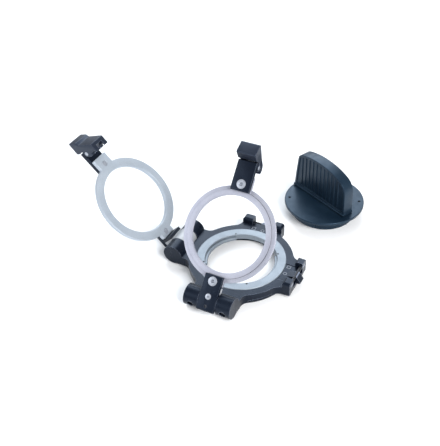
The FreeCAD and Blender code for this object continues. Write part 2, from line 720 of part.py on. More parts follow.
def plug_grip(where, top):
    """An upright blade with a sloping crest and flutes on both faces."""
    crest = [
        ("grip_left + 0.5", 0), ("grip_left + 4.5", "grip_high - 9"), ("grip_left + 7", "grip_high - 5"),
        ("grip_left + 12", "grip_high - 2.6"), ("grip_left + 24", "grip_high - 0.4"),
        ("grip_left + 34", "grip_high"), ("grip_left + 46", "grip_high - 0.8"),
        ("grip_left + 57", "grip_high - 3.4"), ("grip_right - 7", "grip_high - 7.6"),
        ("grip_right - 2.4", "grip_high - 13"), ("grip_right - 0.6", "grip_high - 20"),
        ("grip_right", 0),
    ]
    lifted = [(x, f"{top} + 0.02 + {z}") for x, z in crest]
    blade = slab(lifted, "grip_half")
    foot = block(
        ("grip_left", "grip_right + 0.2"), ("-grip_half - 1.1", "grip_half + 1.1"),
        (f"{top} + 0.02", f"{top} + 3"),
    )
    flutes = []
    for i in range(11):
        x = f"grip_left + 10.5 + {i} * rib_pitch"
        for side in (-1, 1):
            y = f"{side} * (grip_half + 0.35)"
            flutes.append(rod("rib_r", "grip_high - 20", x, y, f"{top} + 7"))
    bolts = [rod(2.02, 20, x, 0, 4) for x in (-18, 14)]
    node("plug_grip", cut(joined(blade, foot), *flutes, *bolts), where)


def check_and_write():
    doc.recompute()
    for thing in doc.Objects:
        if "Invalid" in thing.State or "Error" in thing.State:
            raise RuntimeError(f"{thing.Name} did not build: {thing.State}")
    os.makedirs("parts", exist_ok=True)
    for made in NODES:
        shape = made.Shape
        if shape.isNull() or not shape.isValid() or not shape.Solids:
            raise RuntimeError(f"{made.Label} is not a sound solid")
        shape.exportStep(f"parts/{made.Label}.step")


base_frame()
bayonet_ring()
base_fittings()
lock_marks()
clamp("front")
clamp("left")
plug()
check_and_write()
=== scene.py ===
"""Looks of the ring clamp base and its bayonet plug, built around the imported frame."""
import math

import bmesh
import bpy
from mathutils import Matrix, Vector
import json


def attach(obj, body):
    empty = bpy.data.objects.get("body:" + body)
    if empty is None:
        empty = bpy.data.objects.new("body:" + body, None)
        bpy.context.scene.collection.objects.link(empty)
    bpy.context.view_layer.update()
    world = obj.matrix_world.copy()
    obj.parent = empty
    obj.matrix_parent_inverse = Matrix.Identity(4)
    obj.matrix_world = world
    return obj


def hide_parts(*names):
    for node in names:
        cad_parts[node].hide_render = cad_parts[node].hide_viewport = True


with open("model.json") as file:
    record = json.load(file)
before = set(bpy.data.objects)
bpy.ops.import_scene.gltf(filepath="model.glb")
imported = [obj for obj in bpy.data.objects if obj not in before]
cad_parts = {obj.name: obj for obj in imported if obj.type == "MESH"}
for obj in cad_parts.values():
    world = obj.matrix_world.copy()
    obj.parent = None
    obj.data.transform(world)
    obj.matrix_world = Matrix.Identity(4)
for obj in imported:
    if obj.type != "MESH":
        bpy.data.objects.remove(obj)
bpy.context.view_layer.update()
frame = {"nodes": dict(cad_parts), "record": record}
nodes = frame["nodes"]
scene = bpy.context.scene
MM = 0.001

# ---- sizes in millimetres, as in the CAD ------------------------------------

HINGE_OUT = 62.5
HINGE_Z = 10.7
OPEN = {"front": 48.0, "left": 135.0}
BACK = {"front": 1.6, "left": 10.1}
RING_THICK = 4.0
RING_R = 44.0
STEP_R = 40.3
RING_BORE = 35.1
PLATE_THICK = 4.2
PLATE_HALF = 9.2
PIVOT_OUT = 126.5
PIVOT_DROP = 3.6
PIN_R = 2.0
LEVER_HALF = 9.4
SLOT_HALF = 5.25
ARM_HALF = 8.7
BLOCK_R = 9.5
BLOCK_END = 13.6
BIG_SCREW = (4.4, 2.5)
SMALL_SCREW = (2.9, 1.5)
ARM_SCREW_OUT = 18.2
LATCH_SCREW_OUT = 108.2
SMALL_SCREW_OUT = {"front": 4.0, "left": 9.9}
GRUB_OUT = -4.9
BLACK_FROM = 10.5
HEEL = (14, 25)
TAB = (100.3, 117)
LATCH_PLATE = (101.8, 129.7)
ARM_PLATE_FROM = {"front": -9.5, "left": 6.0}
ARM_PLATE_END = 24.0
BIG_LENGTH = 8.2
SMALL_LENGTH = 5.5
PLUG_AT = (40.4, 115.8)
PLUG_TURN = -25.6


def arm_matrix(side):
    """From an arm's own frame (x out from the hinge axis, z above it) to the model's."""
    tilt = Matrix.Rotation(math.radians(-OPEN[side]), 4, "Y")
    if side == "left":
        return Matrix.Translation((-HINGE_OUT * MM, 0, HINGE_Z * MM)) @ tilt
    turn = Matrix.Rotation(math.radians(90), 4, "Z")
    return Matrix.Translation((0, -HINGE_OUT * MM, HINGE_Z * MM)) @ turn @ tilt


PLUG = (
    Matrix.Translation((PLUG_AT[0] * MM, PLUG_AT[1] * MM, 0))
    @ Matrix.Rotation(math.radians(PLUG_TURN), 4, "Z")
)
ARMS = {side: arm_matrix(side) for side in ("front", "left")}

# ---- materials --------------------------------------------------------------

PLASTIC_SHEEN = (0.45, 0.70, 1.0)
BLACK_SHEEN = (0.60, 0.75, 1.0)
# Colour of the black's worn edges, which also serves as a painted edge highlight.
BLACK_EDGE_WEAR_AND_HIGHLIGHT = (0.20, 0.23, 0.30)
BLAST_GRAIN = 4200.0
RING_CENTRE = (HINGE_OUT * MM, 0.0)
ALONG_Y = (1, 14, 1)


class Graph:
    """A small helper that adds nodes to a material and links them."""

    def __init__(self, name):
        self.material = bpy.data.materials.new(name)
        self.material.use_nodes = True
        self.tree = self.material.node_tree
        self.shader = self.tree.nodes["Principled BSDF"]
        self.by_attribute = False

    def node(self, kind, **settings):
        """A new shader node with the given settings."""
        made = self.tree.nodes.new("ShaderNode" + kind)
        for key, value in settings.items():
            setattr(made, key, value)
        return made

    def link(self, a, b):
        """Joins an output to an input."""
        self.tree.links.new(a, b)

    def set(self, **values):
        """Fixed values of the shader's inputs, with _ for a space."""
        for key, value in values.items():
            self.shader.inputs[key.replace("_", " ")].default_value = value

    def local(self):
        """Place in the piece's own frame; on a CAD node, in the model's."""
        if self.by_attribute:
            return self.node("Attribute", attribute_name="local").outputs["Vector"]
        return self.node("TexCoord").outputs["Object"]

    def noise(self, scale, detail=2.0, rough=0.5, stretch=None):
        """Noise in the object's space, drawn out along an axis if stretch says so."""
        where = self.node("TexCoord").outputs["Object"]
        if stretch:
            mapping = self.node("Mapping")
            mapping.inputs["Scale"].default_value = stretch
            self.link(where, mapping.inputs["Vector"])
            where = mapping.outputs["Vector"]
        made = self.node("TexNoise")
        made.inputs["Scale"].default_value = scale
        made.inputs["Detail"].default_value = detail
        made.inputs["Roughness"].default_value = rough
        self.link(where, made.inputs["Vector"])
        return made.outputs["Fac"]

    def ramp(self, value, low, high, start=0.3, end=0.7):
        """Maps a value to a number or a colour between low and high."""
        if isinstance(low, (tuple, list)):
            made = self.node("ValToRGB")
            made.color_ramp.elements[0].position = start
            made.color_ramp.elements[0].color = (*low, 1)
            made.color_ramp.elements[1].position = end
            made.color_ramp.elements[1].color = (*high, 1)
            self.link(value, made.inputs["Fac"])
            return made.outputs["Color"]
        made = self.node("MapRange")
        made.inputs["From Min"].default_value = start
        made.inputs["From Max"].default_value = end
        made.inputs["To Min"].default_value = low
        made.inputs["To Max"].default_value = high
        self.link(value, made.inputs["Value"])
        return made.outputs["Result"]

    def mix(self, share, a, b):
        """Colour a where share is 0, and b where it is 1."""
        made = self.node("Mix", data_type="RGBA")
        self.link(share, made.inputs[0])
        for value, socket in ((a, made.inputs[6]), (b, made.inputs[7])):
            if isinstance(value, tuple):
                socket.default_value = (*value, 1)
            else:
                self.link(value, socket)
        return made.outputs[2]

    def bump(self, height, depth, strength=1.0, under=None):
        """Shading normal of a fine relief, depth metres high."""
        made = self.node("Bump")
        made.inputs["Strength"].default_value = strength
        made.inputs["Distance"].default_value = depth
        self.link(height, made.inputs["Height"])
        if under is not None:
            self.link(under, made.inputs["Normal"])
        return made.outputs["Normal"]

    def soft_edges(self, radius):
        """Shading normal that rounds the sharp edges of a machined or moulded part."""
        made = self.node("Bevel", samples=4)
        made.inputs["Radius"].default_value = radius
        return made.outputs["Normal"]

    def crevice_shade(self, radius):
        """Mask of painted shade: 1 deep in seams and inner corners, 0 on open faces."""
        made = self.node("AmbientOcclusion", samples=4)
        made.inputs["Distance"].default_value = radius
        return self.ramp(made.outputs["AO"], 0.85, 0.0, 0.25, 0.6)

    def edges(self, radius):
        """1 at outer edges, 0 on faces, by how much is open on the inner side; the mask for worn
        edges that also carry a painted highlight.
        """
        made = self.node("AmbientOcclusion", inside=True, samples=4)
        made.inputs["Distance"].default_value = radius
        return self.ramp(made.outputs["AO"], 1.0, 0.0, 0.35, 0.62)


def blasted(g, dark, light, edge_wear_and_highlight):
    """Base colour of bead-blasted silver: cloudy, finely speckled, paler at its edges with wear and
    a painted highlight, and with painted shade in its crevices.
    """
    cloud = g.ramp(g.noise(30.0, 2.0), dark, light, 0.35, 0.68)
    specks = g.ramp(g.noise(1500.0, 1.0), 0.0, 0.5, 0.42, 0.66)
    speckled = g.mix(specks, cloud, tuple(0.82 * v for v in dark))
    # Worn edges, made paler, also as a painted highlight.
    edged = g.mix(g.edges(0.0005), speckled, edge_wear_and_highlight)
    # Painted shade: the colour darkens in seams and inner corners.
    shadow = tuple(0.22 * v for v in dark)
    return g.mix(g.crevice_shade(0.0009), edged, shadow)


def anodised(name, dark, light, metal, rough, edge_wear_and_highlight, shine, tint=(1, 1, 1)):
    """Blasted and anodised aluminium: fine grain, slight clouding, paler edges with wear and a
    painted highlight, and painted shade in seams and corners.
    """
    g = Graph(name)
    cloud = g.ramp(g.noise(38.0, 3.0), dark, light, 0.35, 0.68)
    fine = g.noise(BLAST_GRAIN, 2.0, 0.6)
    # Worn edges, made paler, also as a painted highlight.
    edged = g.mix(g.edges(0.0009), cloud, edge_wear_and_highlight)
    # Painted shade: in seams and inner corners the colour darkens and the reflection weakens.
    shadow = tuple(0.3 * v for v in dark)
    shade_share = g.crevice_shade(0.0022)
    g.link(g.mix(shade_share, edged, shadow), g.shader.inputs["Base Color"])
    g.link(g.ramp(shade_share, shine, 0.02), g.shader.inputs["Specular IOR Level"])
    g.set(Metallic=metal)
    g.shader.inputs["Specular Tint"].default_value = (*tint, 1)
    g.link(g.ramp(g.noise(130.0, 3.0), rough - 0.05, rough + 0.06), g.shader.inputs["Roughness"])
    normal = g.bump(fine, 0.00003, 0.5, g.soft_edges(0.0004))
    g.link(normal, g.shader.inputs["Normal"])
    return g.material


def turned_metal(name, dark, light, rough, centre, edge_wear_and_highlight, step=None):
    """Silver anodised aluminium with turning marks round a centre.

    With a step, a radius in metres, the wall at that radius is painted dark, as painted shade.
    """
    g = Graph(name)
    g.by_attribute = centre != (0.0, 0.0)
    place = g.node("Mapping")
    place.inputs["Location"].default_value = (-centre[0], -centre[1], 0)
    g.link(g.local(), place.inputs["Vector"])
    marks = g.node("TexWave", wave_type="RINGS", rings_direction="Z", wave_profile="SIN")
    marks.inputs["Scale"].default_value = 900.0
    marks.inputs["Distortion"].default_value = 0.6
    g.link(place.outputs["Vector"], marks.inputs["Vector"])
    colour = blasted(g, dark, light, edge_wear_and_highlight)
    # Painted shade: the wall at the step's radius is painted near black.
    if step:
        place.inputs["Scale"].default_value = (1, 1, 0)
        reach = g.node("VectorMath", operation="LENGTH")
        g.link(place.outputs["Vector"], reach.inputs[0])
        step_shade = g.node("Math", operation="MULTIPLY")
        out = reach.outputs["Value"]
        g.link(g.ramp(out, 0.0, 1.0, step - 0.0001, step - 0.00006), step_shade.inputs[0])
        g.link(g.ramp(out, 1.0, 0.0, step + 0.00006, step + 0.0001), step_shade.inputs[1])
        colour = g.mix(step_shade.outputs["Value"], colour, (0.02, 0.023, 0.03))
    g.link(colour, g.shader.inputs["Base Color"])
    g.set(Metallic=0.45)
    g.link(g.ramp(g.noise(160.0, 3.0), rough - 0.04, rough + 0.05), g.shader.inputs["Roughness"])
    grain = g.bump(g.noise(3800.0, 1.0), 0.00002, 0.35, g.soft_edges(0.0003))
    g.link(g.bump(marks.outputs["Fac"], 0.00001, 0.25, grain), g.shader.inputs["Normal"])
    return g.material


def steel(name, dark, light, rough, stretch=None):
    """Machined metal with fine drawn marks."""
    g = Graph(name)
    marks = g.noise(500.0, 3.0, 0.6, stretch)
    g.link(g.ramp(marks, dark, light), g.shader.inputs["Base Color"])
    g.set(Metallic=0.6)
    g.link(g.ramp(marks, rough - 0.04, rough + 0.06), g.shader.inputs["Roughness"])
    normal = g.bump(marks, 0.00001, 0.3, g.soft_edges(0.0002))
    g.link(normal, g.shader.inputs["Normal"])
    return g.material


def moulded(name, dark, light, rough, grain, depth, edge_wear_and_highlight, shine=0.3, tint=(1, 1, 1)):
    """Moulded plastic, rubber or paint with a fine grain."""
    g = Graph(name)
    cloud = g.ramp(g.noise(45.0, 3.0), dark, light, 0.35, 0.68)
    # Worn edges, made paler, also as a painted highlight.
    g.link(g.mix(g.edges(0.0008), cloud, edge_wear_and_highlight), g.shader.inputs["Base Color"])
    g.set(Specular_IOR_Level=shine)
    g.shader.inputs["Specular Tint"].default_value = (*tint, 1)
    g.link(g.ramp(g.noise(200.0, 3.0), rough - 0.05, rough + 0.07), g.shader.inputs["Roughness"])
    normal = g.bump(g.noise(grain, 2.0, 0.65), depth, 0.6, g.soft_edges(0.0004))
    g.link(normal, g.shader.inputs["Normal"])
    return g.material


BLACK = anodised(
    "black_anodised", (0.0030, 0.0048, 0.0100), (0.0055, 0.0085, 0.0160), 0.0, 0.30,
    BLACK_EDGE_WEAR_AND_HIGHLIGHT, 0.24, BLACK_SHEEN,
)
# Painted light: the levers get a lighter copy of the black anodised finish.
LEVER_BLACK_PAINTED_LIT = anodised(
    "black_anodised_lever_painted_lit", (0.010, 0.013, 0.022), (0.016, 0.020, 0.032), 0.0, 0.34,
    BLACK_EDGE_WEAR_AND_HIGHLIGHT, 0.45, BLACK_SHEEN,
)
SILVER = anodised(
    "silver_anodised", (0.42, 0.49, 0.58), (0.50, 0.56, 0.66), 0.5, 0.42,
    (0.70, 0.74, 0.80), 0.5,
)
LEFT_METAL = turned_metal(
    "ring_silver", (0.40, 0.45, 0.51), (0.47, 0.52, 0.58), 0.42, RING_CENTRE,
    (0.72, 0.76, 0.82),
)
# The front ring's step wall is painted dark, as painted shade.
FRONT_METAL = turned_metal(
    "ring_silver_pale", (0.36, 0.37, 0.44), (0.43, 0.44, 0.51), 0.42, RING_CENTRE,
    (0.64, 0.65, 0.72), STEP_R * MM,
)
BORE_METAL = turned_metal(
    "bayonet_silver", (0.19, 0.222, 0.258), (0.235, 0.27, 0.31), 0.46, (0.0, 0.0),
    (0.42, 0.47, 0.52),
)
BARE = steel("bare_aluminium", (0.50, 0.53, 0.57), (0.60, 0.63, 0.67), 0.44, ALONG_Y)


def half_blacked():
    """Bare aluminium whose end beside the ring's heel is black."""
    g = Graph("bare_aluminium_black_flange")
    g.by_attribute = True
    apart = g.node("SeparateXYZ")
    g.link(g.local(), apart.inputs["Vector"])
    marks = g.noise(500.0, 3.0, 0.6, ALONG_Y)
    black = g.ramp(apart.outputs["X"], 0.0, 1.0, BLACK_FROM * MM, (BLACK_FROM + 0.15) * MM)
    bare = g.ramp(marks, (0.35, 0.365, 0.385), (0.43, 0.445, 0.465))
    g.link(g.mix(black, bare, (0.010, 0.014, 0.024)), g.shader.inputs["Base Color"])
    g.link(g.ramp(black, 0.3, 0.0, 0.0, 1.0), g.shader.inputs["Metallic"])
    g.link(g.ramp(marks, 0.46, 0.56), g.shader.inputs["Roughness"])
    g.set(Specular_IOR_Level=0.3)
    g.link(g.bump(marks, 0.00001, 0.3, g.soft_edges(0.0002)), g.shader.inputs["Normal"])
    return g.material


BLACKED_FLANGE = half_blacked()
BRIGHT = steel("bright_steel", (0.31, 0.335, 0.385), (0.41, 0.435, 0.485), 0.38)
DARK_STEEL = steel("dark_steel", (0.020, 0.022, 0.027), (0.045, 0.047, 0.055), 0.42)
PLASTIC = moulded(
    "black_plastic", (0.004, 0.0110, 0.021), (0.008, 0.018, 0.031), 0.36, 2600.0, 0.00005,
    (0.045, 0.065, 0.095), 0.42, PLASTIC_SHEEN,
)
BUSH = moulded(
    "bush_plastic", (0.62, 0.58, 0.47), (0.70, 0.66, 0.55), 0.45, 3000.0, 0.00003,
    (0.8, 0.77, 0.68),
)
RUBBER = moulded(
    "seal_rubber", (0.010, 0.010, 0.011), (0.018, 0.018, 0.019), 0.62, 2200.0, 0.00005,
    (0.03, 0.03, 0.03),
)
# Painted shade: the pins are painted near black with almost no reflection, so their holes read as
# dark.
PIN_HOLE_SHADE = moulded(
    "pin_holes_painted_shade", (0.001, 0.001, 0.002), (0.003, 0.003, 0.004), 0.6, 2600.0, 0.00002,
    (0.01, 0.01, 0.012), 0.05,
)
MARK = moulded(
    "mark_paint", (0.075, 0.09, 0.12), (0.105, 0.125, 0.16), 0.5, 3000.0, 0.00002,
    (0.2, 0.22, 0.26),
)

FINISH = {
    "black_anodised": BLACK, "silver_anodised": SILVER, "bare_aluminium": BARE,
    "bright_steel": BRIGHT, "dark_steel": DARK_STEEL, "black_plastic": PLASTIC,
    "bush_plastic": BUSH, "seal_rubber": RUBBER, "mark_paint": MARK,
}
SLOTS = {part["node"]: part["material_slot"] for part in frame["record"]["subparts"]}
BODIES = frame["record"]["behaviour"]["bodies"]
BODY = {name: body for body, members in BODIES.items() for name in members}

# ---- mesh tools -------------------------------------------------------------


def mesh_object(name, bm):
    """A bmesh in millimetres becomes an object in metres."""
    bmesh.ops.recalc_face_normals(bm, faces=bm.faces)
    bmesh.ops.scale(bm, vec=(MM, MM, MM), verts=bm.verts)
    mesh = bpy.data.meshes.new(name)
    bm.to_mesh(mesh)
    bm.free()
    made = bpy.data.objects.new(name, mesh)
    scene.collection.objects.link(made)
    return made


def soften(points, radius, steps=5):
    """The outline with each corner turned into an arc that fits its two sides."""
    made = []
    count = len(points)
    for i in range(count):
        before, at, after = (Vector(points[(i + k) % count]) for k in (-1, 0, 1))
        one, two = before - at, after - at
        turn = math.pi - one.angle(two, 0.0)
        reach = radius * math.tan(turn / 2)
        short = min(reach, 0.45 * one.length, 0.45 * two.length)
        if turn < 0.05 or short < 1e-4:
            made.append(tuple(at))
            continue
        start, end = at + short * one.normalized(), at + short * two.normalized()
        for k in range(steps + 1):
            t = k / steps
            bent = (1 - t) ** 2 * start + 2 * t * (1 - t) * at + t * t * end
            made.append(tuple(bent))
    return made


def lathe(points, segments=144, centre=(0, 0)):
    """A closed section (radius, height) turned about a vertical axis."""
    bm = bmesh.new()
    rows = []
    for i in range(segments):
        turn = math.radians(360.0 * i / segments)
        row = [
            bm.verts.new((centre[0] + r * math.cos(turn), centre[1] + r * math.sin(turn), z))
            for r, z in points
        ]
        rows.append(row)
    size = len(points)
    for i in range(segments):
        here, there = rows[i], rows[(i + 1) % segments]
        for k in range(size):
            if points[k][0] < 1e-6 and points[(k + 1) % size][0] < 1e-6:
                continue
            bm.faces.new((here[k], here[(k + 1) % size], there[(k + 1) % size], there[k]))
    bmesh.ops.remove_doubles(bm, verts=bm.verts, dist=1e-4)
    return bm


def prism(points, low, high, along="y", rim=0.0, steps=3):
    """An outline in XZ drawn out along Y, or one in XY along Z, with rounded rims."""
    bm = bmesh.new()

    def corner(p, depth):
        return (p[0], depth, p[1]) if along == "y" else (p[0], p[1], depth)

    near = [bm.verts.new(corner(p, low)) for p in points]
    far = [bm.verts.new(corner(p, high)) for p in points]
    caps = [bm.faces.new(near), bm.faces.new(far)]
    for i, a in enumerate(near):
        j = (i + 1) % len(near)
        bm.faces.new((a, near[j], far[j], far[i]))
    bmesh.ops.recalc_face_normals(bm, faces=bm.faces)
    if rim:
        edges = [e for cap in caps for e in cap.edges]
        bmesh.ops.bevel(
            bm, geom=edges, offset=rim, offset_type="OFFSET", segments=steps, profile=0.5,
            affect="EDGES", clamp_overlap=True,
        )
    return bm


def box(x, y, z, rim=0.0, corner=0.0):
    """A block between two limits along each axis, rounded at its rims and corners."""
    outline = [(x[0], z[0]), (x[1], z[0]), (x[1], z[1]), (x[0], z[1])]
    return prism(soften(outline, corner) if corner else outline, y[0], y[1], rim=rim)


def circle(radius, x=0.0, y=0.0, segments=48, start=0.0, sweep=360.0):
    """Points round a circle, or along the arc of it that starts at an angle."""
    count = segments if sweep >= 360.0 else segments + 1
    turns = [math.radians(start + sweep * i / segments) for i in range(count)]
    return [(x + radius * math.cos(t), y + radius * math.sin(t)) for t in turns]


def rod(radius, low, high, x=0.0, y=0.0, segments=48, along="z", rim=0.0):
    """A cylinder; along Y, x and y give its axis in X and Z."""
    return prism(circle(radius, x, y, segments), low, high, along, rim)


def combine(solid, tools, operation):
    """Joins tools to a solid, or cuts them out of it, and leaves a plain mesh."""
    for tool in tools:
        made = solid.modifiers.new("step", "BOOLEAN")
        made.solver = "EXACT"
        made.operation = operation
        made.object = tool
    bpy.context.view_layer.update()
    depsgraph = bpy.context.evaluated_depsgraph_get()
    mesh = bpy.data.meshes.new_from_object(solid.evaluated_get(depsgraph))
    solid.modifiers.clear()
    solid.data = mesh
    for tool in tools:
        bpy.data.objects.remove(tool)
    return solid


def join(solid, *shapes):
    """Adds shapes to a solid."""
    return combine(solid, [mesh_object("tool", s) for s in shapes], "UNION")


def cut(solid, *shapes):
    """Cuts shapes out of a solid."""
    return combine(solid, [mesh_object("tool", s) for s in shapes], "DIFFERENCE")


def remember_local(piece):
    """Keeps each vertex's place in the piece's own frame, for materials that need it."""
    kept = piece.data.attributes.new("local", "FLOAT_VECTOR", "POINT")
    for vertex, value in zip(piece.data.vertices, kept.data):
        value.vector = vertex.co


def smooth(piece, angle):
    """Smooth shading, broken where faces meet at more than the angle."""
    mesh = piece.data
    for face in mesh.polygons:
        face.use_smooth = True
    mesh.set_sharp_from_angle(angle=math.radians(angle))


def settle(piece, where, stands_for, material=None, angle=32.0):
    """Places a piece, gives it its finish and lets it ride in place of CAD nodes."""
    remember_local(piece)
    piece.data.transform(where)
    smooth(piece, angle)
    piece.data.materials.clear()
    piece.data.materials.append(material or FINISH[SLOTS[stands_for[0]]])
    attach(piece, BODY[stands_for[0]])
    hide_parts(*stands_for)


# ---- screws -----------------------------------------------------------------


def sink(x, top, head, shank, depth=9.0):
    """The hole of a countersunk screw, with its edge broken."""
    return lathe(
        [
            (0, top - depth), (shank + 0.01, top - depth), (shank + 0.01, top - head + shank),
            (head + 0.02, top), (head + 0.25, top + 0.23), (head + 0.25, top + 2), (0, top + 2),
        ],
        64, (x, 0),
    )


def sunk_screw(name, x, top, size, length):
    """A countersunk screw: domed rim, turned face and a hexagon socket."""
    head, shank = size
    turned_head = lathe(
        [
            (0, top - length), (shank - 0.3, top - length), (shank, top - length + 0.3),
            (shank, top - head + shank), (head - 0.12, top - 0.2), (head - 0.12, top - 0.12),
            (head - 0.45, top - 0.01), (0, top - 0.01),
        ],
        64, (x, 0),
    )
    flat = shank * 0.66
    socket = prism(circle(flat, x, 0, 6), top - shank * 0.9, top + 1, "z")
    mouth = lathe(
        [(0, top - 0.4), (flat - 0.25, top - 0.4), (flat + 0.25, top + 0.1), (0, top + 0.1)],
        48, (x, 0),
    )
    return cut(mesh_object(name, turned_head), socket, mouth)


# ---- clamp arms ---------------------------------------------------------------


def ring_front(side):
    """Height of a ring's front face above its hinge axis."""
    return BACK[side] + RING_THICK


def clamp_ring(side):
    """The hoop with a tab at each end for the black plates; the front one has a raised land."""
    low, high = BACK[side], ring_front(side)
    shoulder = [(RING_R, high)]
    if side == "front":
        shoulder = [(RING_R, high - 1.3), (STEP_R, high - 1.2), (STEP_R, high)]
    section = [
        (RING_BORE + 0.8, low), (RING_R, low), *shoulder, (RING_BORE, high), (RING_BORE, low + 1.6),
    ]
    hoop = mesh_object(f"{side}_ring_fine", lathe(soften(section, 0.25, 3), 192, (HINGE_OUT, 0)))
    ends = []
    for (near, far), half, corner in ((HEEL, 8.5, 1.5), (TAB, 9, 1.2)):
        outline = soften([(near, -half), (far, -half), (far, half), (near, half)], corner)
        ends.append(prism(outline, low, high, "z", rim=0.3))
    join(hoop, *ends)
    bore = [
        (0, low - 1), (2.95, low - 1), (2.95, low + 0.1), (2.51, low + 0.5), (2.51, 25), (0, 25),
    ]
    cut(hoop, *[lathe(bore, 48, (x, 0)) for x in (ARM_SCREW_OUT, LATCH_SCREW_OUT)])
    metal = LEFT_METAL if side == "left" else FRONT_METAL
    settle(hoop, ARMS[side], [f"{side}_ring"], metal)


def hinge_block(side):
    """The bare knuckle with the flat that carries the arm plate."""
    top = ring_front(side)
    step = 1.7
    turn = math.degrees(math.asin(step / BLOCK_R))
    if side == "front":
        start = 180 - math.degrees(math.asin(top / BLOCK_R))
        head = [(BLOCK_END, step), (BLOCK_END, top)]
    else:
        start = 180 - math.degrees(math.asin(7.4 / BLOCK_R))
        head = [(BLOCK_END, step), (BLOCK_END, top), (1.2, top)]
    around = circle(BLOCK_R, 0, 0, 64, start, 360 + turn - start)
    block = mesh_object(
        f"{side}_block_fine", prism(head + around, -ARM_HALF, ARM_HALF, rim=0.35)
    )
    holes = [rod(4.5, -12, 12, along="y")]
    screws = [SMALL_SCREW_OUT[side]]
    if side == "front":
        screws.append(GRUB_OUT)
    holes += [rod(1.51, top - 1.6, top + 4, x) for x in screws]
    cut(block, *holes)
    metal = BLACKED_FLANGE if side == "left" else BARE
    settle(block, ARMS[side], [f"{side}_hinge_block"], metal)


def arm_plate(side):
    """The black plate over the heel of a ring, with its countersunk screws."""
    low = ring_front(side)
    top = low + PLATE_THICK
    start = ARM_PLATE_FROM[side]
    end = ARM_PLATE_END
    small = SMALL_SCREW_OUT[side]
    corners = [
        (end, low), (end, top - 0.6), (end - 0.6, top), (start + 1.2, top), (start, top - 1.2),
        (start, low),
    ]
    outline = soften(corners, 0.7)
    plate = mesh_object(f"{side}_arm_plate_fine", prism(outline, -ARM_HALF, ARM_HALF, rim=0.5))
    holes = [sink(ARM_SCREW_OUT, top, *BIG_SCREW), sink(small, top, *SMALL_SCREW)]
    if side == "front":
        holes.append(sink(GRUB_OUT, top, 1.6, 1.51))
    cut(plate, *holes)
    settle(plate, ARMS[side], [f"{side}_arm_plate"])
    big = sunk_screw(f"{side}_arm_screw_fine", ARM_SCREW_OUT, top, BIG_SCREW, BIG_LENGTH)
    settle(big, ARMS[side], [f"{side}_arm_screw"])
    screw = sunk_screw(f"{side}_block_screw_fine", small, top, SMALL_SCREW, SMALL_LENGTH)
    if side == "front":
        grub = mesh_object("grub", rod(1.5, top - 5.5, top - 2.4, GRUB_OUT, rim=0.15))
        cut(grub, prism(circle(0.85, GRUB_OUT, 0, 6), top - 3.9, top, "z"))
        combine(screw, [grub], "UNION")
    settle(screw, ARMS[side], [f"{side}_block_screws"])


def latch_plate(side):
    """The black plate over the latch tab, with the tongue that holds the pin."""
    low = ring_front(side)
    top = low + PLATE_THICK
    pin_z = low - PIVOT_DROP
    near, far = LATCH_PLATE
    outline = soften([(near, low), (far, low), (far, top), (near, top)], 0.9)
    plate = mesh_object(
        f"{side}_latch_plate_fine", prism(outline, -PLATE_HALF, PLATE_HALF, rim=0.5)
    )
    tongue = box(
        (PIVOT_OUT - 3.7, PIVOT_OUT + 2.7), (-5, 5), (pin_z - 3.1, low + 1), rim=0.3, corner=0.8
    )
    join(plate, tongue)
    pin_hole = rod(PIN_R + 0.01, -12, 12, PIVOT_OUT, pin_z, along="y")
    cut(plate, pin_hole, sink(LATCH_SCREW_OUT, top, *BIG_SCREW))
    settle(plate, ARMS[side], [f"{side}_latch_plate"])
    screw = sunk_screw(f"{side}_latch_screw_fine", LATCH_SCREW_OUT, top, BIG_SCREW, BIG_LENGTH)
    settle(screw, ARMS[side], [f"{side}_latch_screw"])
    pin_shape = rod(PIN_R, -LEVER_HALF, LEVER_HALF, PIVOT_OUT, pin_z, along="y", rim=0.3)
    pin = mesh_object(f"{side}_latch_pin_fine", pin_shape)
    settle(pin, ARMS[side], [f"{side}_latch_pin"])


# Each lever's toe and head, as places (out, up) from its pin.
LEVER = {
    "left": (
        [
            (4.0, -13.7), (-5.0, -13.7), (-5.0, -12.7), (-2.4, -12.1), (-2.4, -6.4), (-5.0, -5.6),
            (-5.0, -2.6),
        ],
        [(3.9, 3.1), (3.9, 8.0), (5.4, 11.0), (17.4, 10.4), (18.4, 9.2), (14.6, 2.2), (11.5, 1.4)],
    ),
    "front": (
        [
            (4.2, -7.0), (2.0, -8.3), (-0.5, -8.7), (-2.8, -8.3), (-4.6, -7.0), (-5.0, -6.3),
            (-2.2, -6.1), (-2.2, -2.4), (-3.4, -0.8),
        ],
        [(4.0, 3.1), (4.0, 9.4), (7.4, 16.4), (9.0, 17.3), (18.2, 12.8), (19.0, 11.6), (9.3, 0.5)],
    ),
}


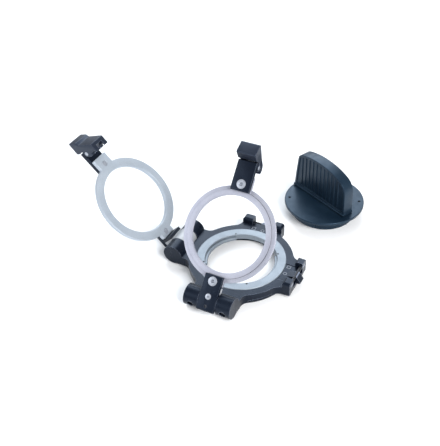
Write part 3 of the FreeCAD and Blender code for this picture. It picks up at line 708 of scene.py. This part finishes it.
def latch_lever(side):
    """Head, cheeks on the pin and hooked toes, split by the slot for the tongue."""
    pin_z = ring_front(side) - PIVOT_DROP
    toe, head = LEVER[side]
    eye = [(-3.4, 1.0), (-1.5, 3.2), (1.5, 3.2)]
    profile = [(PIVOT_OUT + x, pin_z + z) for x, z in toe + eye + head]
    lever = mesh_object(
        f"{side}_lever_fine", prism(soften(profile, 0.9, 4), -LEVER_HALF, LEVER_HALF, rim=0.45)
    )
    if side == "left":
        notch = [(-12, -5.0), (-3.2, -5.0), (0.6, -12.0), (0.6, -20.0), (-12, -20.0)]
        slots = [
            box((PIVOT_OUT - 12, PIVOT_OUT), (-SLOT_HALF, SLOT_HALF), (pin_z - 5.2, pin_z + 3.4)),
            prism([(PIVOT_OUT + x, pin_z + z) for x, z in notch], -4.3, 4.3),
        ]
    else:
        fork = (PIVOT_OUT - 12, PIVOT_OUT + 3.9)
        slots = [box(fork, (-SLOT_HALF, SLOT_HALF), (pin_z - 40, pin_z + 3.4))]
    slots.append(rod(5.3, -SLOT_HALF, SLOT_HALF, PIVOT_OUT, pin_z, along="y"))
    cut(lever, rod(PIN_R + 0.05, -12, 12, PIVOT_OUT, pin_z, along="y"), *slots)
    settle(lever, ARMS[side], [f"{side}_latch_lever"], LEVER_BLACK_PAINTED_LIT)


for side in ("front", "left"):
    clamp_ring(side)
    hinge_block(side)
    arm_plate(side)
    latch_plate(side)
    latch_lever(side)

# ---- plug ---------------------------------------------------------------------

DISC_TOP = 15.5
DISC_FOOT = 12.0
DISC_R = 41.0
GRIP_LEFT = -40.2
GRIP_RIGHT = 34.0
GRIP_HIGH = 45.5
GRIP_HALF = 5.9
PANEL_HALF = 4.9
RIB_COUNT = 11
RIB_PITCH = 5.25
PIN_CIRCLE = 36.0
PIN_TURNS = (44.6, 224.6)
GRIP_SCREWS = (-18, 14)


def inset(points, distance):
    """A convex outline drawn in by a distance."""
    made = []
    middle = sum((Vector(p) for p in points), Vector((0, 0))) / len(points)
    count = len(points)
    for i in range(count):
        before, at, after = (Vector(points[(i + k) % count]) for k in (-1, 0, 1))
        sides = []
        for a, b in ((before, at), (at, after)):
            along = (b - a).normalized()
            across = Vector((-along.y, along.x))
            if across.dot(middle - a) < 0:
                across.negate()
            sides.append((a + across * distance, along))
        (a, u), (b, v) = sides
        bend = u.x * v.y - u.y * v.x
        if abs(bend) < 1e-6:
            made.append(tuple(b))
            continue
        t = ((b - a).x * v.y - (b - a).y * v.x) / bend
        made.append(tuple(a + t * u))
    return made


def height_in(points, x):
    """How high an outline reaches at x."""
    best = 0.0
    for i, a in enumerate(points):
        b = points[(i + 1) % len(points)]
        low, high = min(a[0], b[0]), max(a[0], b[0])
        if low <= x <= high and high > low:
            best = max(best, a[1] + (b[1] - a[1]) * (x - a[0]) / (b[0] - a[0]))
    return best


def flowing(points, passes=3):
    """An open line whose corners are cut again and again until it flows."""
    for _ in range(passes):
        made = [points[0]]
        for a, b in zip(points, points[1:]):
            made += [tuple(Vector(a).lerp(Vector(b), share)) for share in (0.25, 0.75)]
        points = made + [points[-1]]
    return points


def plug_grip():
    """An upright blade with a rounded crest, ribbed panels and a bead along its foot."""
    crest = [
        (GRIP_LEFT + 0.5, 0), (GRIP_LEFT + 4.5, GRIP_HIGH - 9), (GRIP_LEFT + 7, GRIP_HIGH - 5),
        (GRIP_LEFT + 12, GRIP_HIGH - 2.6), (GRIP_LEFT + 24, GRIP_HIGH - 0.4),
        (GRIP_LEFT + 34, GRIP_HIGH), (GRIP_LEFT + 46, GRIP_HIGH - 0.8),
        (GRIP_LEFT + 57, GRIP_HIGH - 3.4), (GRIP_RIGHT - 7, GRIP_HIGH - 7.6),
        (GRIP_RIGHT - 2.4, GRIP_HIGH - 13), (GRIP_RIGHT - 0.6, GRIP_HIGH - 20), (GRIP_RIGHT, 0),
    ]
    outline = [(x, DISC_TOP + 0.02 + z) for x, z in crest]
    blade = prism(flowing(outline), -GRIP_HALF, GRIP_HALF, rim=1.3, steps=5)
    grip = mesh_object("plug_grip_fine", blade)
    panel = [(x, z + 1.5 if z < DISC_TOP + 5 else z) for x, z in inset(outline, 2.3)]
    panel_outline = flowing(panel, 2)
    cut(
        grip,
        prism(panel_outline, PANEL_HALF, 9.0, rim=0.5),
        prism(panel_outline, -9.0, -PANEL_HALF, rim=0.5),
    )
    ribs = []
    for i in range(RIB_COUNT):
        x = GRIP_LEFT + 10.8 + i * RIB_PITCH
        reach = height_in(panel, x) - 1.2
        for y in (-PANEL_HALF - 0.05, PANEL_HALF + 0.05):
            ribs.append(rod(0.8, DISC_TOP + 5.0, reach, x, y, 16, rim=0.3))
    foot = box(
        (GRIP_LEFT, GRIP_RIGHT + 0.2), (-7, 7), (DISC_TOP + 0.02, DISC_TOP + 2.4), rim=1.0,
        corner=1.1,
    )
    join(grip, foot, *ribs)
    settle(grip, PLUG, ["plug_grip"], angle=40.0)


def plug_disc():
    """The disc with a rounded rim, the seal's groove below it and the two pin holes."""
    section = [
        (0, DISC_FOOT), (DISC_R - 0.8, DISC_FOOT), (DISC_R, DISC_FOOT + 0.8),
        (DISC_R, DISC_TOP - 0.6), (DISC_R - 0.6, DISC_TOP), (0, DISC_TOP),
    ]
    rim = soften(section[1:5], 0.5, 4)
    disc = mesh_object("plug_disc_fine", lathe([section[0]] + rim + [section[5]], 192))
    holes = []
    for turn in PIN_TURNS:
        x, y = (PIN_CIRCLE * f(math.radians(turn)) for f in (math.cos, math.sin))
        holes.append(
            lathe(
                [
                    (0, 13.1), (1.4, 13.1), (1.4, DISC_TOP - 0.1), (1.5, DISC_TOP + 0.05),
                    (1.5, 18), (0, 18),
                ],
                32, (x, y),
            )
        )
    groove = lathe([(30.8, 11.0), (32.9, 11.0), (32.9, 12.9), (30.8, 12.9)])
    cut(disc, *holes, groove, *[rod(2.02, 4, 18, x) for x in GRIP_SCREWS])
    settle(disc, PLUG, ["plug_disc"])


plug_disc()
plug_grip()

# ---- the CAD nodes that stay ------------------------------------------------

# The pins get painted shade for their holes; the bayonet ring gets its own silver.
OWN_FINISH = {"plug_pins": PIN_HOLE_SHADE, "index_pins": PIN_HOLE_SHADE, "bayonet_ring": BORE_METAL}
for name, thing in nodes.items():
    thing.data.materials.clear()
    thing.data.materials.append(OWN_FINISH.get(name, FINISH[SLOTS[name]]))

# ---- camera, floor and light ------------------------------------------------

AZIMUTH = math.radians(28.63)
ELEVATION = math.radians(39.18)
ROLL = math.radians(-2.36)
DISTANCE = 0.691
LENS = 58.94
LOOK_HEIGHT = 0.012
SHIFT = (-0.02017, 0.03331)
LIT_POINT = Vector((0, 0, 0.03))

back = Vector((
    math.sin(AZIMUTH) * math.cos(ELEVATION),
    -math.cos(AZIMUTH) * math.cos(ELEVATION),
    math.sin(ELEVATION),
))
right = Vector((math.cos(AZIMUTH), math.sin(AZIMUTH), 0))
up = back.cross(right)
side = math.cos(ROLL) * right + math.sin(ROLL) * up
top = math.cos(ROLL) * up - math.sin(ROLL) * right
aim = Vector((0, 0, LOOK_HEIGHT)) + SHIFT[0] * side + SHIFT[1] * top
place = aim + DISTANCE * back
camera = bpy.data.objects.new("camera", bpy.data.cameras.new("camera"))
camera.data.lens = LENS
camera.data.sensor_width = 36.0
camera.data.sensor_fit = "HORIZONTAL"
camera.data.clip_start = 0.01
camera.data.clip_end = 20.0
camera.matrix_world = Matrix((
    (side.x, top.x, back.x, place.x),
    (side.y, top.y, back.y, place.y),
    (side.z, top.z, back.z, place.z),
    (0, 0, 0, 1),
))
scene.collection.objects.link(camera)
scene.camera = camera

floor_shape = bmesh.new()
bmesh.ops.create_grid(floor_shape, x_segments=8, y_segments=8, size=4000)
floor = mesh_object("floor", floor_shape)
floor.location.z = -0.0002
paper = Graph("floor_paper")
paper.link(
    paper.ramp(paper.noise(6.0, 2.0), (0.90, 0.90, 0.90), (0.93, 0.93, 0.93)),
    paper.shader.inputs["Base Color"],
)
paper.set(Roughness=0.9, Specular_IOR_Level=0.0)
floor.data.materials.append(paper.material)


def lamp(name, place, power, size, colour=(1, 1, 1)):
    """A round soft light that faces the object."""
    light = bpy.data.lights.new(name, "AREA")
    light.shape = "DISK"
    light.energy = power
    light.size = size
    light.color = colour
    made = bpy.data.objects.new(name, light)
    made.location = place
    made.rotation_mode = "QUATERNION"
    made.rotation_quaternion = (Vector(place) - LIT_POINT).to_track_quat("Z", "Y")
    scene.collection.objects.link(made)


lamp("key", (1.10, -0.65, 1.00), 30.0, 0.8)
lamp("softbox", (-0.60, 1.10, 1.15), 26.0, 1.5, (0.86, 0.93, 1.0))
lamp("fill", (-0.9, -0.9, 0.7), 6.0, 0.9, (0.92, 0.95, 1.0))

world = bpy.data.worlds.new("studio")
world.use_nodes = True
backdrop = world.node_tree.nodes["Background"]
backdrop.inputs["Color"].default_value = (0.93, 0.96, 1.0, 1)
backdrop.inputs["Strength"].default_value = 0.5
scene.world = world
scene.view_settings.view_transform = "Standard"
